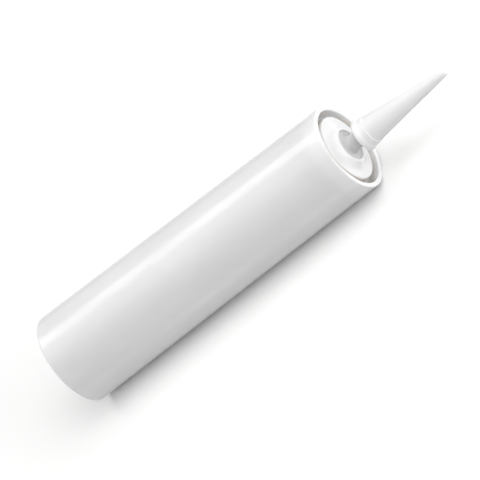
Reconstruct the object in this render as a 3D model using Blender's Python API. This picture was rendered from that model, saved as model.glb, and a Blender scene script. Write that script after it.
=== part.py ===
"""A caulk tube: a moulded cartridge with its plunger, paste filling, outlet seal and screw-on nozzle.

Metres, +Z up. The tube stands on its rear rim, on the Z axis, with z = 0 under it and the nozzle on top.
Every piece is turned round the Z axis from its section, written as (radius, height, corner radius) rows.
"""

import math

import bmesh
import bpy
from mathutils import Vector

# Barrel
BODY_HEIGHT = 0.1950
FRONT_DIAMETER = 0.0486
FRONT_WALL = 0.0011
REAR_FLARE = 0.0012
REAR_LEAD_IN = 0.0006
RIM_EDGE_RADIUS = 0.0005

# Front end: rim, annular recess, shoulder plate and well
RIM_WIDTH = 0.0025
RECESS_WIDTH = 0.0033
RECESS_DEPTH = 0.0070
SHOULDER_WALL = 0.0016
PLATE_DROP = 0.0009
PLATE_WALL = 0.0018
PLATE_EDGE_RADIUS = 0.0008
PLATE_LAND = 0.0060
WELL_DIAMETER = 0.0170
LIP_WIDTH = 0.0016
LIP_HEIGHT = 0.0026
LIP_BLEND_RADIUS = 0.0040

# Threaded neck set in the well
NECK_DIAMETER = 0.0090
NECK_BORE_DIAMETER = 0.0056
NECK_HEIGHT = 0.0218
NECK_BASE_HEIGHT = 0.0072
NECK_ROOT_RADIUS = 0.0010

# Membrane on the neck's mouth
SEAL_THICKNESS = 0.0004
SEAL_SETBACK = 0.0002

# Nozzle
COLLAR_LIFT = 0.0095
FLANGE_DIAMETER = 0.0176
FLANGE_HEIGHT = 0.0026
FLANGE_SLOPE = 0.0010
FLANGE_EDGE_RADIUS = 0.0010
COLLAR_DIAMETER = 0.0160
COLLAR_HEIGHT = 0.0069
COLLAR_STEP = 0.0005
CONE_HEIGHT = 0.0513
TIP_DIAMETER = 0.0036
SEAT_WIDTH = 0.0010
TIP_BORE_DIAMETER = 0.0012
TIP_WALL = 0.0030

# Plunger
PLUNGER_INSET = 0.0015
PLUNGER_LENGTH = 0.0125
BAND_HEIGHT = 0.0028
WAIST_DEPTH = 0.0011
LIP_THICKNESS = 0.0011
GROOVE_WIDTH = 0.0022
GROOVE_DEPTH = 0.0055

# Clearances between pieces
FACE_GAP = 0.0003
WELL_GAP = 0.0003
BORE_GAP = 0.0003
THREAD_GAP = 0.0004

# Facets round each piece and in each rounded corner
BARREL_SEGMENTS = 64
NOZZLE_SEGMENTS = 40
ARC_STEPS = 3

# Levels and radii that several pieces share
FRONT_RADIUS = FRONT_DIAMETER / 2
BORE_RADIUS = FRONT_RADIUS - FRONT_WALL
SHOULDER_TOP = BODY_HEIGHT - RECESS_DEPTH
SHOULDER_UNDERSIDE = SHOULDER_TOP - SHOULDER_WALL
NECK_RADIUS = NECK_DIAMETER / 2
NECK_TOP = BODY_HEIGHT + NECK_HEIGHT
SEAL_BOTTOM = NECK_TOP + FACE_GAP
SEAL_TOP = SEAL_BOTTOM + SEAL_THICKNESS
PLUNGER_TOP = PLUNGER_INSET + PLUNGER_LENGTH


def clear_scene():
    for item in list(bpy.data.objects):
        bpy.data.objects.remove(item, do_unlink=True)


def plastic(name, colour, roughness):
    material = bpy.data.materials.new(name)
    material.use_nodes = True
    shader = material.node_tree.nodes["Principled BSDF"]
    shader.inputs["Base Color"].default_value = (*colour, 1.0)
    shader.inputs["Roughness"].default_value = roughness
    return material


def foil(name, colour, roughness):
    material = plastic(name, colour, roughness)
    material.node_tree.nodes["Principled BSDF"].inputs["Metallic"].default_value = 1.0
    return material


def corner_arc(before, corner, after, radius):
    """Points of the arc that rounds one corner, kept within the two straight sides that meet there."""
    to_before = before - corner
    to_after = after - corner
    half_angle = to_before.angle(to_after) / 2
    reach = min(radius / math.tan(half_angle), 0.45 * to_before.length, 0.45 * to_after.length)
    start = to_before.normalized() * reach
    end = to_after.normalized() * reach
    centre = (start + end) / (2 * math.cos(half_angle) ** 2)
    from_centre = start - centre
    sweep = from_centre.angle_signed(end - centre)
    turns = [-sweep * step / ARC_STEPS for step in range(ARC_STEPS + 1)]
    arc = []
    for turn in turns:
        cosine, sine = math.cos(turn), math.sin(turn)
        x, y = from_centre
        arc.append(corner + centre + Vector((x * cosine - y * sine, x * sine + y * cosine)))
    return arc


def section(rows, closed):
    """The outline through the rows, with every corner that has a radius rounded."""
    points = [Vector((radius, height)) for radius, height, _ in rows]
    outline = []
    for index, (_, _, radius) in enumerate(rows):
        at_end = not closed and index in (0, len(rows) - 1)
        if radius == 0 or at_end:
            outline.append(points[index])
        else:
            after = points[(index + 1) % len(points)]
            outline += corner_arc(points[index - 1], points[index], after, radius)
    return outline


def turned(name, rows, material, segments, closed=True):
    """An object turned round Z from a section. An open section starts and ends on the axis."""
    mesh = bpy.data.meshes.new(name)
    shape = bmesh.new()
    vertices = [shape.verts.new((point.x, 0, point.y)) for point in section(rows, closed)]
    edges = [shape.edges.new(pair) for pair in zip(vertices, vertices[1:])]
    if closed:
        edges.append(shape.edges.new((vertices[-1], vertices[0])))
    bmesh.ops.spin(
        shape,
        geom=vertices + edges,
        cent=(0, 0, 0),
        axis=(0, 0, 1),
        angle=math.tau,
        steps=segments,
        use_duplicate=False,
    )
    bmesh.ops.remove_doubles(shape, verts=shape.verts, dist=1e-6)
    bmesh.ops.recalc_face_normals(shape, faces=shape.faces)
    shape.to_mesh(mesh)
    shape.free()
    mesh.materials.append(material)
    mesh.shade_smooth()
    mesh.set_sharp_from_angle(angle=math.radians(30))
    piece = bpy.data.objects.new(name, mesh)
    bpy.context.scene.collection.objects.link(piece)
    return piece


def cartridge_body(material):
    """Barrel, rim, annular recess, shoulder plate and well: one moulding with even walls."""
    rear = FRONT_RADIUS + REAR_FLARE
    rim_inside = FRONT_RADIUS - RIM_WIDTH
    plate = rim_inside - RECESS_WIDTH
    plate_top = BODY_HEIGHT - PLATE_DROP
    well = WELL_DIAMETER / 2
    lip_outside = well + LIP_WIDTH
    lip_top = plate_top + LIP_HEIGHT
    pocket_top = plate_top - PLATE_WALL
    outlet = NECK_BORE_DIAMETER / 2
    outside = [
        (rear, 0, RIM_EDGE_RADIUS),
        (FRONT_RADIUS, BODY_HEIGHT, RIM_EDGE_RADIUS),
        (rim_inside, BODY_HEIGHT, RIM_EDGE_RADIUS),
        (rim_inside, SHOULDER_TOP, 0),
        (plate, SHOULDER_TOP, 0),
        (plate, plate_top, PLATE_EDGE_RADIUS),
        (plate - PLATE_LAND, plate_top, LIP_BLEND_RADIUS),
        (lip_outside, lip_top, LIP_WIDTH),
        (well, lip_top, LIP_WIDTH),
        (well, SHOULDER_TOP, 0),
    ]
    inside = [
        (outlet, SHOULDER_TOP, 0),
        (outlet, SHOULDER_UNDERSIDE, 0),
        (well + SHOULDER_WALL, SHOULDER_UNDERSIDE, 0),
        (well + SHOULDER_WALL, pocket_top, 0),
        (plate - SHOULDER_WALL, pocket_top, 0),
        (plate - SHOULDER_WALL, SHOULDER_UNDERSIDE, 0),
        (BORE_RADIUS, SHOULDER_UNDERSIDE, SHOULDER_WALL),
        (BORE_RADIUS, REAR_LEAD_IN, 0),
        (BORE_RADIUS + REAR_LEAD_IN, 0, 0),
    ]
    return turned("cartridge_body", outside + inside, material, BARREL_SEGMENTS)


def threaded_neck(material):
    """The nipple that carries the nozzle: a thick base in the well, and a hollow neck over the outlet."""
    base = WELL_DIAMETER / 2 - WELL_GAP
    bore = NECK_BORE_DIAMETER / 2
    base_bottom = SHOULDER_TOP + FACE_GAP
    base_top = base_bottom + NECK_BASE_HEIGHT
    rows = [
        (bore, base_bottom, 0),
        (base, base_bottom, 0),
        (base, base_top, RIM_EDGE_RADIUS),
        (NECK_RADIUS, base_top, NECK_ROOT_RADIUS),
        (NECK_RADIUS, NECK_TOP, RIM_EDGE_RADIUS),
        (bore, NECK_TOP, 0),
    ]
    return turned("threaded_neck", rows, material, NOZZLE_SEGMENTS)


def outlet_seal(material):
    """The membrane that lies on the neck's mouth, a little smaller than the neck."""
    edge = NECK_RADIUS - SEAL_SETBACK
    rows = [(0, SEAL_BOTTOM, 0), (edge, SEAL_BOTTOM, 0), (edge, SEAL_TOP, 0), (0, SEAL_TOP, 0)]
    return turned("outlet_seal", rows, material, NOZZLE_SEGMENTS, closed=False)


def nozzle(material):
    """The cone with its collar. Its socket ends over the seal, and a bore tapers up to the closed tip."""
    collar_bottom = BODY_HEIGHT + COLLAR_LIFT
    collar_top = collar_bottom + COLLAR_HEIGHT
    tip_top = collar_top + CONE_HEIGHT
    collar = COLLAR_DIAMETER / 2
    flange = FLANGE_DIAMETER / 2
    flange_top = collar_bottom + FLANGE_HEIGHT
    socket = NECK_RADIUS + THREAD_GAP
    seat = SEAL_TOP + FACE_GAP
    tip = TIP_DIAMETER / 2
    bore_end = tip_top - TIP_WALL
    rows = [
        (0, tip_top, 0),
        (tip, tip_top, tip / 2),
        (collar - COLLAR_STEP, collar_top, 0),
        (collar, collar_top, COLLAR_STEP / 2),
        (collar, flange_top + FLANGE_SLOPE, FLANGE_EDGE_RADIUS),
        (flange, flange_top, FLANGE_EDGE_RADIUS),
        (flange, collar_bottom, FLANGE_EDGE_RADIUS),
        (socket, collar_bottom, RIM_EDGE_RADIUS),
        (socket, seat, 0),
        (socket - SEAT_WIDTH, seat, 0),
        (TIP_BORE_DIAMETER / 2, bore_end, 0),
        (0, bore_end, 0),
    ]
    return turned("nozzle", rows, material, NOZZLE_SEGMENTS, closed=False)


def plunger(material):
    """A piston with a flat rear face, a guide band, a waist, and a front lip cut free by a groove."""
    edge = BORE_RADIUS - BORE_GAP
    waist = edge - WAIST_DEPTH
    lip_inside = edge - LIP_THICKNESS
    groove_inside = lip_inside - GROOVE_WIDTH
    front_band = PLUNGER_TOP - BAND_HEIGHT
    rear_band = PLUNGER_INSET + BAND_HEIGHT
    groove_floor = PLUNGER_TOP - GROOVE_DEPTH
    rows = [
        (0, PLUNGER_INSET, 0),
        (edge, PLUNGER_INSET, RIM_EDGE_RADIUS),
        (edge, rear_band, 0),
        (waist, rear_band + WAIST_DEPTH, 0),
        (waist, front_band - WAIST_DEPTH, 0),
        (edge, front_band, 0),
        (edge, PLUNGER_TOP, 0),
        (lip_inside, PLUNGER_TOP, 0),
        (lip_inside - WAIST_DEPTH / 2, groove_floor, 0),
        (groove_inside, groove_floor, 0),
        (groove_inside, PLUNGER_TOP, RIM_EDGE_RADIUS),
        (0, PLUNGER_TOP, 0),
    ]
    return turned("plunger", rows, material, BARREL_SEGMENTS, closed=False)


def sealant(material):
    """The paste column between the plunger and the underside of the shoulder."""
    edge = BORE_RADIUS - BORE_GAP
    bottom = PLUNGER_TOP + FACE_GAP
    top = SHOULDER_UNDERSIDE - FACE_GAP
    rows = [(0, bottom, 0), (edge, bottom, 0), (edge, top, SHOULDER_WALL), (0, top, 0)]
    return turned("sealant", rows, material, BARREL_SEGMENTS, closed=False)


clear_scene()
cartridge_body(plastic("white_polyethylene", (0.84, 0.84, 0.85), 0.22))
threaded_neck(plastic("grey_polyethylene", (0.66, 0.66, 0.66), 0.45))
nozzle(plastic("nozzle_polyethylene", (0.85, 0.85, 0.85), 0.3))
plunger(plastic("plunger_polyethylene", (0.78, 0.78, 0.78), 0.4))
sealant(plastic("white_paste", (0.82, 0.82, 0.80), 0.5))
outlet_seal(foil("seal_foil", (0.75, 0.75, 0.76), 0.35))
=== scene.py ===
"""The looks of a caulk tube: its cartridge, threaded neck, seal, nozzle, plunger and paste, on white.

Metres, in the CAD model's frame: the tube stands on its rear rim, on the Z axis, with the nozzle on top.
"""

import math

import bmesh
import bpy
from mathutils import Matrix, Vector


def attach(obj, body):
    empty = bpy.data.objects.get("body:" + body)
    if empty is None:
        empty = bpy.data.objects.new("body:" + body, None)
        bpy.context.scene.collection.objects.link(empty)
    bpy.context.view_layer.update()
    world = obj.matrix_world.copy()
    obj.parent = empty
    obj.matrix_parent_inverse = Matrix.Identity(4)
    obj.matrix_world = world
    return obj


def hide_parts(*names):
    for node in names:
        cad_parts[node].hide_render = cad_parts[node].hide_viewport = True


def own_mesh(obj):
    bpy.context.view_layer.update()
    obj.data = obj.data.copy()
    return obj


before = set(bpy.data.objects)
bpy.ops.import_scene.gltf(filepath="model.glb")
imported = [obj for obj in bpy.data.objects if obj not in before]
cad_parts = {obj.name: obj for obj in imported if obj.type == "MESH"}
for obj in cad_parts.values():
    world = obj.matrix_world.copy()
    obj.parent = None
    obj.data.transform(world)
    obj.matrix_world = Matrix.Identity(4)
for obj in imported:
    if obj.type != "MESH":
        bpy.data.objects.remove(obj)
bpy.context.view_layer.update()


# Cartridge
# One moulding in white polyethylene: the barrel, a little wider at the rear so that it leaves its mould,
# and the front end with its rim, its recess and its shoulder plate, whose lip runs round the neck's well.
# The mould is polished, so the skin is glossy, with faint clouds and a slight orange peel.
front_z = 0.1950
front_radius = 0.0243
rear_radius = 0.0255
bore_radius = 0.0232
rim_inside = 0.0218
recess_floor = 0.1880
plate_radius = 0.0185
plate_z = 0.1941
lip_foot = 0.0125
lip_outside = 0.0101
lip_z = 0.1967
well_radius = 0.0085
shoulder_underside = 0.1864
pocket_z = 0.1923
pocket_wall = 0.0016
outlet_radius = 0.0028
rear_lead_in = 0.0006


def turned(name, rings, facets, solid):
    """A circle extruded and scaled from ring to ring, each a (radius, height) pair, in edit mode.

    A solid piece has a cap at both ends. In a hollow one the last ring runs on into the first."""
    bpy.ops.object.select_all(action="DESELECT")
    radius, height = rings[0]
    bpy.ops.mesh.primitive_circle_add(
        vertices=facets,
        radius=radius,
        fill_type="TRIFAN" if solid else "NOTHING",
        location=(0, 0, height),
    )
    piece = bpy.context.object
    piece.name = name
    piece.data.name = name
    bpy.ops.object.transform_apply(location=True, rotation=False, scale=False)
    bpy.ops.object.mode_set(mode="EDIT")
    bpy.ops.mesh.select_all(action="SELECT")
    for next_radius, next_height in rings[1:] if solid else rings[1:] + rings[:1]:
        bpy.ops.mesh.extrude_region_move(TRANSFORM_OT_translate={"value": (0, 0, next_height - height)})
        growth = next_radius / radius
        bpy.ops.transform.resize(value=(growth, growth, 1), center_override=(0, 0, 0))
        radius, height = next_radius, next_height
    bpy.ops.mesh.select_all(action="SELECT")
    bpy.ops.mesh.remove_doubles(threshold=1e-6)
    bpy.ops.mesh.normals_make_consistent(inside=False)
    bpy.ops.object.mode_set(mode="OBJECT")
    return piece


def round_corners(piece, corners):
    """Bevels the circles at the given (radius, height) by the width beside them."""
    reach = 0.00002
    bpy.ops.object.mode_set(mode="EDIT")
    bpy.ops.mesh.select_mode(type="EDGE")
    for radius, height, width in corners:
        bpy.ops.mesh.select_all(action="DESELECT")
        shape = bmesh.from_edit_mesh(piece.data)
        for edge in shape.edges:
            edge.select = all(
                abs(math.hypot(point.co.x, point.co.y) - radius) < reach and abs(point.co.z - height) < reach
                for point in edge.verts
            )
        bmesh.update_edit_mesh(piece.data)
        bpy.ops.mesh.bevel(offset=width, segments=5, affect="EDGES", clamp_overlap=True)
    bpy.ops.object.mode_set(mode="OBJECT")


def even_shading(piece):
    """Smooth shading over the rounded corners, with the flats kept flat."""
    sharpest_smooth = math.radians(32)
    bpy.ops.object.shade_smooth_by_angle(angle=sharpest_smooth)
    flats = piece.modifiers.new("flats", "WEIGHTED_NORMAL")
    flats.keep_sharp = True
    bpy.ops.object.modifier_apply(modifier=flats.name)


def moulded_skin():
    """The node group for moulded polyethylene: clouds in its colour and gloss, and a fine orange peel.

    The clouds are drawn out along the tube."""
    group = bpy.data.node_groups.new("moulded_skin", "ShaderNodeTree")
    for name, kind in (
        ("Colour", "NodeSocketColor"),
        ("Cloud Colour", "NodeSocketColor"),
        ("Cloud Size", "NodeSocketFloat"),
        ("Roughness", "NodeSocketFloat"),
        ("Cloud Roughness", "NodeSocketFloat"),
        ("Peel Size", "NodeSocketFloat"),
        ("Peel Depth", "NodeSocketFloat"),
    ):
        group.interface.new_socket(name=name, in_out="INPUT", socket_type=kind)
    for name, kind in (
        ("Colour", "NodeSocketColor"),
        ("Roughness", "NodeSocketFloat"),
        ("Normal", "NodeSocketVector"),
    ):
        group.interface.new_socket(name=name, in_out="OUTPUT", socket_type=kind)
    nodes, links = group.nodes, group.links
    given = nodes.new("NodeGroupInput")
    made = nodes.new("NodeGroupOutput")
    place = nodes.new("ShaderNodeTexCoord")
    drawn = nodes.new("ShaderNodeMapping")
    drawn.inputs["Scale"].default_value = (1.0, 1.0, 0.25)
    links.new(place.outputs["Object"], drawn.inputs["Vector"])

    clouds = nodes.new("ShaderNodeTexNoise")
    clouds.inputs["Detail"].default_value = 3.0
    cloud_scale = nodes.new("ShaderNodeMath")
    cloud_scale.operation = "DIVIDE"
    cloud_scale.inputs[0].default_value = 1.0
    links.new(given.outputs["Cloud Size"], cloud_scale.inputs[1])
    links.new(drawn.outputs["Vector"], clouds.inputs["Vector"])
    links.new(cloud_scale.outputs["Value"], clouds.inputs["Scale"])
    density = nodes.new("ShaderNodeMapRange")
    density.interpolation_type = "SMOOTHSTEP"
    density.inputs["From Min"].default_value = 0.35
    density.inputs["From Max"].default_value = 0.65
    links.new(clouds.outputs["Fac"], density.inputs["Value"])

    colour = nodes.new("ShaderNodeMix")
    colour.data_type = "RGBA"
    links.new(density.outputs["Result"], colour.inputs["Factor"])
    links.new(given.outputs["Colour"], colour.inputs["A"])
    links.new(given.outputs["Cloud Colour"], colour.inputs["B"])
    links.new(colour.outputs["Result"], made.inputs["Colour"])
    gloss = nodes.new("ShaderNodeMix")
    links.new(density.outputs["Result"], gloss.inputs["Factor"])
    links.new(given.outputs["Roughness"], gloss.inputs["A"])
    links.new(given.outputs["Cloud Roughness"], gloss.inputs["B"])
    links.new(gloss.outputs["Result"], made.inputs["Roughness"])

    peel_scale = nodes.new("ShaderNodeMath")
    peel_scale.operation = "DIVIDE"
    peel_scale.inputs[0].default_value = 1.0
    links.new(given.outputs["Peel Size"], peel_scale.inputs[1])
    peel = nodes.new("ShaderNodeTexNoise")
    peel.inputs["Detail"].default_value = 2.0
    links.new(place.outputs["Object"], peel.inputs["Vector"])
    links.new(peel_scale.outputs["Value"], peel.inputs["Scale"])
    dimples = nodes.new("ShaderNodeBump")
    dimples.inputs["Strength"].default_value = 1.0
    links.new(given.outputs["Peel Depth"], dimples.inputs["Distance"])
    links.new(peel.outputs["Fac"], dimples.inputs["Height"])
    links.new(dimples.outputs["Normal"], made.inputs["Normal"])
    return group


def moulded_plastic(name, **values):
    """A polyethylene whose colour, gloss and surface come from the moulded skin with these values.

    Light goes a little way into it before it comes out again."""
    light_depth = 0.003
    material = bpy.data.materials.new(name)
    material.use_nodes = True
    nodes, links = material.node_tree.nodes, material.node_tree.links
    shader = nodes["Principled BSDF"]
    shader.inputs["IOR"].default_value = 1.5
    shader.inputs["Subsurface Weight"].default_value = 0.6
    shader.inputs["Subsurface Radius"].default_value = (1.0, 1.0, 1.0)
    shader.inputs["Subsurface Scale"].default_value = light_depth
    skin = nodes.new("ShaderNodeGroup")
    skin.name = "moulded_skin"
    skin.node_tree = bpy.data.node_groups.get("moulded_skin") or moulded_skin()
    for socket, value in values.items():
        skin.inputs[socket.replace("_", " ")].default_value = value
    links.new(skin.outputs["Colour"], shader.inputs["Base Color"])
    links.new(skin.outputs["Roughness"], shader.inputs["Roughness"])
    links.new(skin.outputs["Normal"], shader.inputs["Normal"])
    return material


def painted_recess_shade(material):
    """Paints warm shade into the recess between rim and plate, like light that came through the plastic.

    The painted shade also darkens with depth."""
    painted_shade_depth = 0.0060
    painted_shade_tones = [
        (0.08, (0.84, 0.84, 0.845)),
        (0.30, (0.87, 0.81, 0.73)),
        (1.00, (0.48, 0.43, 0.36)),
    ]
    beside_wall = 0.0002
    below_floor = 0.0005
    nodes, links = material.node_tree.nodes, material.node_tree.links
    place = nodes.new("ShaderNodeTexCoord")
    across = nodes.new("ShaderNodeVectorMath")
    across.operation = "MULTIPLY"
    across.inputs[1].default_value = (1, 1, 0)
    from_axis = nodes.new("ShaderNodeVectorMath")
    from_axis.operation = "LENGTH"
    between_walls = nodes.new("ShaderNodeMath")
    between_walls.operation = "COMPARE"
    between_walls.inputs[1].default_value = (plate_radius + rim_inside) / 2
    between_walls.inputs[2].default_value = (rim_inside - plate_radius) / 2 + beside_wall
    axes = nodes.new("ShaderNodeSeparateXYZ")
    above_floor = nodes.new("ShaderNodeMath")
    above_floor.operation = "GREATER_THAN"
    above_floor.inputs[1].default_value = recess_floor - below_floor
    painted_shade_mask = nodes.new("ShaderNodeMath")
    painted_shade_mask.operation = "MULTIPLY"
    depth = nodes.new("ShaderNodeMapRange")
    depth.inputs["From Min"].default_value = front_z
    depth.inputs["From Max"].default_value = front_z - painted_shade_depth
    ramp = nodes.new("ShaderNodeValToRGB")
    stops = ramp.color_ramp.elements
    stops.remove(stops[1])
    for place_down, colour in painted_shade_tones[1:]:
        stops.new(place_down)
    for stop, (place_down, colour) in zip(stops, painted_shade_tones):
        stop.position = place_down
        stop.color = (*colour, 1)
    # Within the recess the painted shade takes the place of the plastic's own colour.
    tone = nodes.new("ShaderNodeMix")
    tone.data_type = "RGBA"
    tone.inputs["A"].default_value = (0.84, 0.84, 0.845, 1)
    links.new(place.outputs["Object"], across.inputs[0])
    links.new(across.outputs["Vector"], from_axis.inputs[0])
    links.new(from_axis.outputs["Value"], between_walls.inputs[0])
    links.new(place.outputs["Object"], axes.inputs["Vector"])
    links.new(axes.outputs["Z"], above_floor.inputs[0])
    links.new(axes.outputs["Z"], depth.inputs["Value"])
    links.new(between_walls.outputs["Value"], painted_shade_mask.inputs[0])
    links.new(above_floor.outputs["Value"], painted_shade_mask.inputs[1])
    links.new(depth.outputs["Result"], ramp.inputs["Fac"])
    links.new(painted_shade_mask.outputs["Value"], tone.inputs["Factor"])
    links.new(ramp.outputs["Color"], tone.inputs["B"])
    links.new(tone.outputs["Result"], nodes["moulded_skin"].inputs["Colour"])


cartridge = turned(
    "cartridge",
    [
        (rear_radius, 0),
        (front_radius, front_z),
        (rim_inside, front_z),
        (rim_inside, recess_floor),
        (plate_radius, recess_floor),
        (plate_radius, plate_z),
        (lip_foot, plate_z),
        (lip_outside, lip_z),
        (well_radius, lip_z),
        (well_radius, recess_floor),
        (outlet_radius, recess_floor),
        (outlet_radius, shoulder_underside),
        (lip_outside, shoulder_underside),
        (lip_outside, pocket_z),
        (plate_radius - pocket_wall, pocket_z),
        (plate_radius - pocket_wall, shoulder_underside),
        (bore_radius, shoulder_underside),
        (bore_radius, rear_lead_in),
        (bore_radius + rear_lead_in, 0),
    ],
    facets=128,
    solid=False,
)
round_corners(
    cartridge,
    [
        (rear_radius, 0, 0.0006),
        (front_radius, front_z, 0.0004),
        (rim_inside, front_z, 0.0004),
        (rim_inside, recess_floor, 0.0006),
        (plate_radius, recess_floor, 0.0005),
        (plate_radius, plate_z, 0.0008),
        (lip_foot, plate_z, 0.0022),
        (lip_outside, lip_z, 0.0007),
        (well_radius, lip_z, 0.0007),
        (well_radius, recess_floor, 0.0004),
        (bore_radius, shoulder_underside, 0.0015),
    ],
)
even_shading(cartridge)
white = moulded_plastic(
    "white_polyethylene",
    Cloud_Colour=(0.81, 0.81, 0.815, 1),
    Cloud_Size=0.014,
    Roughness=0.17,
    Cloud_Roughness=0.24,
    Peel_Size=0.0016,
    Peel_Depth=0.000004,
)
# Painted shade: the recess between rim and plate is tinted warm and made darker with depth.
painted_recess_shade(white)
cartridge.data.materials.append(white)
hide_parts("cartridge_body")
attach(cartridge, "cartridge")


# Threaded neck
# A slim nipple pushed into the well, in stiffer polyethylene: its thick base fills the well, its plain
# shank rises out of the lip, and the thread on its upper part carries the nozzle. Its grey colour is painted
# shade, standing in for the shade in the opening round it.
neck_radius = 0.0045
neck_bore = 0.0028
neck_top = 0.2168
base_radius = 0.00844
base_bottom = 0.1883
base_top = 0.1962

neck = turned(
    "neck",
    [
        (neck_bore, base_bottom),
        (base_radius, base_bottom),
        (base_radius, base_top),
        (neck_radius, base_top),
        (neck_radius, neck_top),
        (neck_bore, neck_top),
    ],
    facets=96,
    solid=False,
)
round_corners(
    neck,
    [
        (base_radius, base_top, 0.0001),
        (neck_radius, base_top, 0.0010),
        (neck_radius, neck_top, 0.0004),
        (neck_bore, neck_top, 0.0002),
    ],
)
even_shading(neck)
# Painted shade: the neck's grey stands in for the shade inside the opening round it.
neck.data.materials.append(
    moulded_plastic(
        "grey_polyethylene",
        Colour=(0.64, 0.64, 0.64, 1),
        Cloud_Colour=(0.60, 0.60, 0.60, 1),
        Cloud_Size=0.006,
        Roughness=0.42,
        Cloud_Roughness=0.5,
        Peel_Size=0.0007,
        Peel_Depth=0.000008,
    )
)
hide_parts("threaded_neck")
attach(neck, "cartridge")

# Its thread: a rounded ridge wound by a screw modifier, sunk a little into the neck.
thread_pitch = 0.0016
thread_turns = 5
thread_start = 0.2077
thread_ridge = 0.00042
thread_sunk = 0.0001
ridge_sides = 8
bpy.ops.object.select_all(action="DESELECT")
bpy.ops.mesh.primitive_circle_add(vertices=ridge_sides, radius=thread_ridge, rotation=(math.pi / 2, 0, 0))
thread = bpy.context.object
thread.name = "neck_thread"
bpy.ops.object.transform_apply(location=False, rotation=True, scale=False)
bpy.ops.object.mode_set(mode="EDIT")
bpy.ops.mesh.select_all(action="SELECT")
bpy.ops.transform.translate(value=(neck_radius - thread_sunk, 0, thread_start))
bpy.ops.object.mode_set(mode="OBJECT")
winding = thread.modifiers.new("winding", "SCREW")
winding.screw_offset = thread_pitch
winding.iterations = thread_turns
winding.steps = 64
winding.render_steps = 64
bpy.ops.object.modifier_apply(modifier=winding.name)
bpy.ops.object.mode_set(mode="EDIT")
bpy.ops.mesh.select_all(action="SELECT")
bpy.ops.mesh.fill_holes(sides=ridge_sides)
bpy.ops.mesh.normals_make_consistent(inside=False)
bpy.ops.object.mode_set(mode="OBJECT")
bpy.ops.object.shade_smooth_by_angle(angle=math.radians(50))
# The thread shares the neck's painted shade grey.
thread.data.materials.append(neck.data.materials[0])
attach(thread, "cartridge")


# Outlet seal
# A disc of foil heat-sealed on the neck's mouth. It keeps its CAD shape, and its rolled metal is slightly
# creased.


def mottled(name, metallic, scale, detail, distortion, tones, gloss, relief):
    """A material whose colour, roughness and relief follow one noise."""
    material = bpy.data.materials.new(name)
    material.use_nodes = True
    nodes, links = material.node_tree.nodes, material.node_tree.links
    shader = nodes["Principled BSDF"]
    shader.inputs["Metallic"].default_value = metallic
    place = nodes.new("ShaderNodeTexCoord")
    noise = nodes.new("ShaderNodeTexNoise")
    noise.inputs["Scale"].default_value = scale
    noise.inputs["Detail"].default_value = detail
    noise.inputs["Distortion"].default_value = distortion
    tone = nodes.new("ShaderNodeMix")
    tone.data_type = "RGBA"
    tone.inputs["A"].default_value = (*tones[0], 1)
    tone.inputs["B"].default_value = (*tones[1], 1)
    roughness = nodes.new("ShaderNodeMapRange")
    roughness.inputs["To Min"].default_value = gloss[0]
    roughness.inputs["To Max"].default_value = gloss[1]
    bump = nodes.new("ShaderNodeBump")
    bump.inputs["Distance"].default_value = relief
    links.new(place.outputs["Object"], noise.inputs["Vector"])
    links.new(noise.outputs["Fac"], tone.inputs["Factor"])
    links.new(noise.outputs["Fac"], roughness.inputs["Value"])
    links.new(noise.outputs["Fac"], bump.inputs["Height"])
    links.new(tone.outputs["Result"], shader.inputs["Base Color"])
    links.new(roughness.outputs["Result"], shader.inputs["Roughness"])
    links.new(bump.outputs["Normal"], shader.inputs["Normal"])
    return material


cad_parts["outlet_seal"].material_slots[0].material = mottled(
    "seal_foil",
    metallic=1.0,
    scale=900.0,
    detail=4.0,
    distortion=0.0,
    tones=[(0.50, 0.50, 0.51), (0.60, 0.60, 0.61)],
    gloss=(0.25, 0.45),
    relief=0.00004,
)


# Nozzle
# A long cone in white polyethylene, screwed on the neck by its short collar. The collar has a rounded bead
# at its foot, and the tip is closed until it is cut. It is a little less glossy than the barrel.
collar_z = 0.2045
collar_top = 0.2114
tip_z = 0.2627
bead_radius = 0.0088
bead_top = 0.2071
slope_top = 0.2081
collar_radius = 0.0080
cone_radius = 0.0075
socket_radius = 0.0049
socket_end = 0.2178
bore_foot_radius = 0.0039
bore_end_radius = 0.0006
bore_end = 0.2597
tip_radius = 0.0018

nozzle = turned(
    "nozzle",
    [
        (bore_end_radius, bore_end),
        (bore_foot_radius, socket_end),
        (socket_radius, socket_end),
        (socket_radius, collar_z),
        (bead_radius, collar_z),
        (bead_radius, bead_top),
        (collar_radius, slope_top),
        (collar_radius, collar_top),
        (cone_radius, collar_top),
        (tip_radius, tip_z),
    ],
    facets=96,
    solid=True,
)
round_corners(
    nozzle,
    [
        (socket_radius, collar_z, 0.0004),
        (bead_radius, collar_z, 0.0010),
        (bead_radius, bead_top, 0.0008),
        (collar_radius, slope_top, 0.0005),
        (collar_radius, collar_top, 0.0004),
        (cone_radius, collar_top, 0.0003),
        (tip_radius, tip_z, 0.0009),
    ],
)
even_shading(nozzle)
nozzle.data.materials.append(
    moulded_plastic(
        "nozzle_polyethylene",
        Colour=(0.83, 0.83, 0.83, 1),
        Cloud_Colour=(0.80, 0.80, 0.805, 1),
        Cloud_Size=0.008,
        Roughness=0.2,
        Cloud_Roughness=0.27,
        Peel_Size=0.0009,
        Peel_Depth=0.000004,
    )
)
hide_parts("nozzle")
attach(nozzle, "nozzle")


# Plunger
# The piston behind the paste, in softer polyethylene: a flat rear face, a guide band, a waist, and a front
# lip cut free by a groove, which the paste presses on the bore.
plunger_z = 0.0015
plunger_top = 0.0140
plunger_radius = 0.0229
band_top = 0.0043
waist_radius = 0.0218
waist_bottom = 0.0054
waist_top = 0.0101
front_band = 0.0112
groove_mouth = 0.0218
groove_outside = 0.02125
groove_inside = 0.0196
groove_floor = 0.0085

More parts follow.
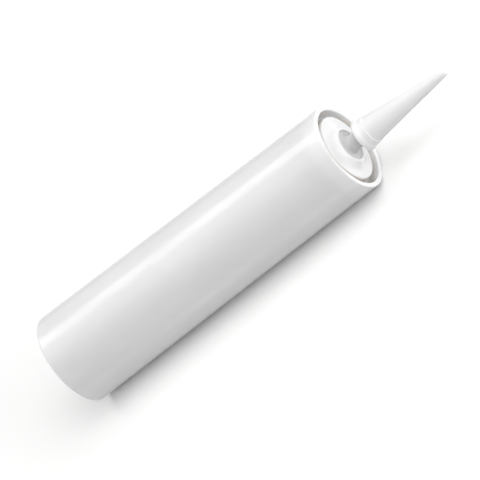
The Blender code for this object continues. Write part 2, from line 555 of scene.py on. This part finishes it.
plunger = turned(
    "plunger",
    [
        (plunger_radius, plunger_z),
        (plunger_radius, band_top),
        (waist_radius, waist_bottom),
        (waist_radius, waist_top),
        (plunger_radius, front_band),
        (plunger_radius, plunger_top),
        (groove_mouth, plunger_top),
        (groove_outside, groove_floor),
        (groove_inside, groove_floor),
        (groove_inside, plunger_top),
    ],
    facets=128,
    solid=True,
)
round_corners(
    plunger,
    [
        (plunger_radius, plunger_z, 0.0005),
        (plunger_radius, band_top, 0.0003),
        (waist_radius, waist_bottom, 0.0004),
        (waist_radius, waist_top, 0.0004),
        (plunger_radius, front_band, 0.0003),
        (groove_inside, plunger_top, 0.0005),
    ],
)
even_shading(plunger)
plunger.data.materials.append(
    moulded_plastic(
        "plunger_polyethylene",
        Colour=(0.78, 0.78, 0.78, 1),
        Cloud_Colour=(0.75, 0.75, 0.755, 1),
        Cloud_Size=0.010,
        Roughness=0.38,
        Cloud_Roughness=0.46,
        Peel_Size=0.0010,
        Peel_Depth=0.000006,
    )
)
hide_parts("plunger")
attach(plunger, "plunger")


# Paste
# The white sealant that fills the barrel from the plunger to the shoulder. As the plunger comes forward,
# the column gets shorter towards the front, because the paste leaves through the nozzle.
paste_bottom = 0.0143
paste_top = 0.1861
paste_radius = 0.0229

paste = turned(
    "paste",
    [
        (paste_radius, paste_bottom),
        (paste_radius, paste_top),
    ],
    facets=96,
    solid=True,
)
round_corners(paste, [(paste_radius, paste_bottom, 0.0004), (paste_radius, paste_top, 0.0014)])
even_shading(paste)
paste.data.materials.append(
    mottled(
        "white_paste",
        metallic=0.0,
        scale=140.0,
        detail=3.0,
        distortion=1.5,
        tones=[(0.80, 0.80, 0.77), (0.85, 0.85, 0.83)],
        gloss=(0.4, 0.6),
        relief=0.0001,
    )
)
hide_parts("sealant")
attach(paste, "cartridge")
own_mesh(paste)


# Studio
# In the photograph the tube lies on a white floor that fades into the background, seen from above on the
# nozzle's side. Here the tube stands, so that floor is an upright sheet, which its side rests on. It shows
# only from its front, where it carries the tube's soft shadow. To the light that falls on the tube it is
# half clear, so that the side that lies on it isn't dark.
floor_size = 0.8
floor_gap = 0.0001
floor_share = 0.5
floor_lean = math.atan2(rear_radius - front_radius, front_z)
bpy.ops.object.select_all(action="DESELECT")
bpy.ops.mesh.primitive_plane_add(size=floor_size, location=(0, 0, 0), rotation=(math.pi / 2, 0, 0))
floor = bpy.context.object
floor.name = "floor"
bpy.ops.object.transform_apply(location=False, rotation=True, scale=False)
floor.rotation_euler = (floor_lean, 0, 0)
floor.location = (0, rear_radius + floor_gap, 0)
bpy.ops.object.transform_apply(location=True, rotation=True, scale=False)
paper = bpy.data.materials.new("white_floor")
paper.use_nodes = True
paper_nodes, paper_links = paper.node_tree.nodes, paper.node_tree.links
paper_nodes.remove(paper_nodes["Principled BSDF"])
paper_out = paper_nodes["Material Output"]
lit = paper_nodes.new("ShaderNodeBsdfDiffuse")
lit.inputs["Color"].default_value = (1, 0.998, 0.994, 1)
clear = paper_nodes.new("ShaderNodeBsdfTransparent")
rays = paper_nodes.new("ShaderNodeLightPath")
side = paper_nodes.new("ShaderNodeNewGeometry")
earlier = paper_nodes.new("ShaderNodeMath")
earlier.operation = "SUBTRACT"
looked_at = paper_nodes.new("ShaderNodeMath")
looked_at.operation = "MAXIMUM"
looked_at.inputs[1].default_value = floor_share
met = paper_nodes.new("ShaderNodeMath")
met.operation = "MAXIMUM"
from_front = paper_nodes.new("ShaderNodeMath")
from_front.operation = "SUBTRACT"
from_front.use_clamp = True
shown = paper_nodes.new("ShaderNodeMixShader")
paper_links.new(rays.outputs["Diffuse Depth"], earlier.inputs[0])
paper_links.new(rays.outputs["Is Diffuse Ray"], earlier.inputs[1])
paper_links.new(rays.outputs["Is Camera Ray"], looked_at.inputs[0])
paper_links.new(looked_at.outputs["Value"], met.inputs[0])
paper_links.new(earlier.outputs["Value"], met.inputs[1])
paper_links.new(met.outputs["Value"], from_front.inputs[0])
paper_links.new(side.outputs["Backfacing"], from_front.inputs[1])
paper_links.new(from_front.outputs["Value"], shown.inputs["Fac"])
paper_links.new(clear.outputs["BSDF"], shown.inputs[1])
paper_links.new(lit.outputs["BSDF"], shown.inputs[2])
paper_links.new(shown.outputs["Shader"], paper_out.inputs["Surface"])
floor.data.materials.append(paper)

# A white room: the camera sees plain white, and the surfaces get its soft light, with a share of the white
# in their gloss.
room_level = 0.27
gloss_share = 0.17
room = bpy.data.worlds.new("white_room")
bpy.context.scene.world = room
room.use_nodes = True
room_nodes, room_links = room.node_tree.nodes, room.node_tree.links
room_light = room_nodes["Background"]
room_light.inputs["Color"].default_value = (1, 1, 1, 1)
room_light.inputs["Strength"].default_value = room_level
room_seen = room_nodes.new("ShaderNodeBackground")
room_seen.inputs["Color"].default_value = (1, 1, 1, 1)
room_seen.inputs["Strength"].default_value = 1.0
room_rays = room_nodes.new("ShaderNodeLightPath")
dimmed = room_nodes.new("ShaderNodeMath")
dimmed.operation = "MULTIPLY"
dimmed.inputs[1].default_value = gloss_share
direct = room_nodes.new("ShaderNodeMath")
direct.operation = "MAXIMUM"
seen = room_nodes.new("ShaderNodeMath")
seen.operation = "MAXIMUM"
room_mix = room_nodes.new("ShaderNodeMixShader")
room_links.new(room_rays.outputs["Is Camera Ray"], direct.inputs[0])
room_links.new(room_rays.outputs["Is Glossy Ray"], dimmed.inputs[0])
room_links.new(dimmed.outputs["Value"], direct.inputs[1])
room_links.new(direct.outputs["Value"], seen.inputs[0])
room_links.new(room_rays.outputs["Is Transmission Ray"], seen.inputs[1])
room_links.new(seen.outputs["Value"], room_mix.inputs["Fac"])
room_links.new(room_light.outputs["Background"], room_mix.inputs[1])
room_links.new(room_seen.outputs["Background"], room_mix.inputs[2])
room_links.new(room_mix.outputs["Shader"], room_nodes["World Output"].inputs["Surface"])

# The camera stands far off with a long lens. It is turned so that the tube points up to the right and leans
# towards the camera, and shifted so that the front rim's centre falls on its place in the photograph.
azimuth = math.radians(55)
tilt = math.radians(26)
tube_slope = math.radians(37.5)
pixels_per_metre = 2000
picture_size = 480
rim_column = 348.6
rim_row = 146.3
away = Vector((math.sin(azimuth) * math.cos(tilt), -math.cos(azimuth) * math.cos(tilt), math.sin(tilt)))
tube_up = (Vector((0, 0, 1)) - away * away.z).normalized()
tube_right = tube_up.cross(away)
picture_right = tube_right * math.sin(tube_slope) + tube_up * math.cos(tube_slope)
picture_up = tube_up * math.sin(tube_slope) - tube_right * math.cos(tube_slope)
lens_data = bpy.data.cameras.new("camera")
lens_data.lens = 1200
lens_data.sensor_width = 36
camera = bpy.data.objects.new("camera", lens_data)
bpy.context.scene.collection.objects.link(camera)
distance = picture_size / pixels_per_metre * lens_data.lens / lens_data.sensor_width
aim = (
    Vector((0, 0, front_z))
    - picture_right * (rim_column - picture_size / 2) / pixels_per_metre
    - picture_up * (picture_size / 2 - rim_row) / pixels_per_metre
)
camera.matrix_world = Matrix.Translation(aim + away * distance) @ Matrix(
    (picture_right, picture_up, away)
).transposed().to_4x4()
lens_data.clip_start = 0.1
lens_data.clip_end = 100
bpy.context.scene.camera = camera


def softbox(name, angle, rise, distance, width, length, power):
    """An area light turned to the tube's middle. The angle goes round the tube from the camera's side, with
    the picture's upper left negative, and the rise is its height towards the nozzle."""
    turn = azimuth + math.radians(angle)
    lift = math.radians(rise)
    towards = Vector((math.sin(turn) * math.cos(lift), -math.cos(turn) * math.cos(lift), math.sin(lift)))
    data = bpy.data.lights.new(name, "AREA")
    data.shape = "RECTANGLE"
    data.size = width
    data.size_y = length
    data.energy = power
    lamp = bpy.data.objects.new(name, data)
    bpy.context.scene.collection.objects.link(lamp)
    lamp.location = Vector((0, 0, front_z / 2)) + towards * distance
    lamp.rotation_mode = "QUATERNION"
    lamp.rotation_quaternion = towards.to_track_quat("Z", "Y")
    return lamp


softbox("key", angle=-30, rise=30, distance=1.8, width=2.2, length=2.2, power=13.7)
softbox("left", angle=-75, rise=20, distance=1.8, width=2.8, length=2.8, power=23.1)
softbox("front", angle=10, rise=62, distance=1.8, width=1.4, length=1.4, power=10.4)
softbox("top", angle=0, rise=86, distance=1.6, width=1.0, length=1.0, power=1.6)
softbox("sheen", angle=-42, rise=-26, distance=2.4, width=1.8, length=1.0, power=6.4)
softbox("streak", angle=-74, rise=-26, distance=3.0, width=1.1, length=0.6, power=7.4)
softbox("side", angle=86, rise=-26, distance=3.0, width=0.7, length=0.6, power=2.8)
softbox("back", angle=184, rise=10, distance=1.8, width=2.2, length=2.2, power=30)

bpy.context.scene.view_settings.view_transform = "Standard"
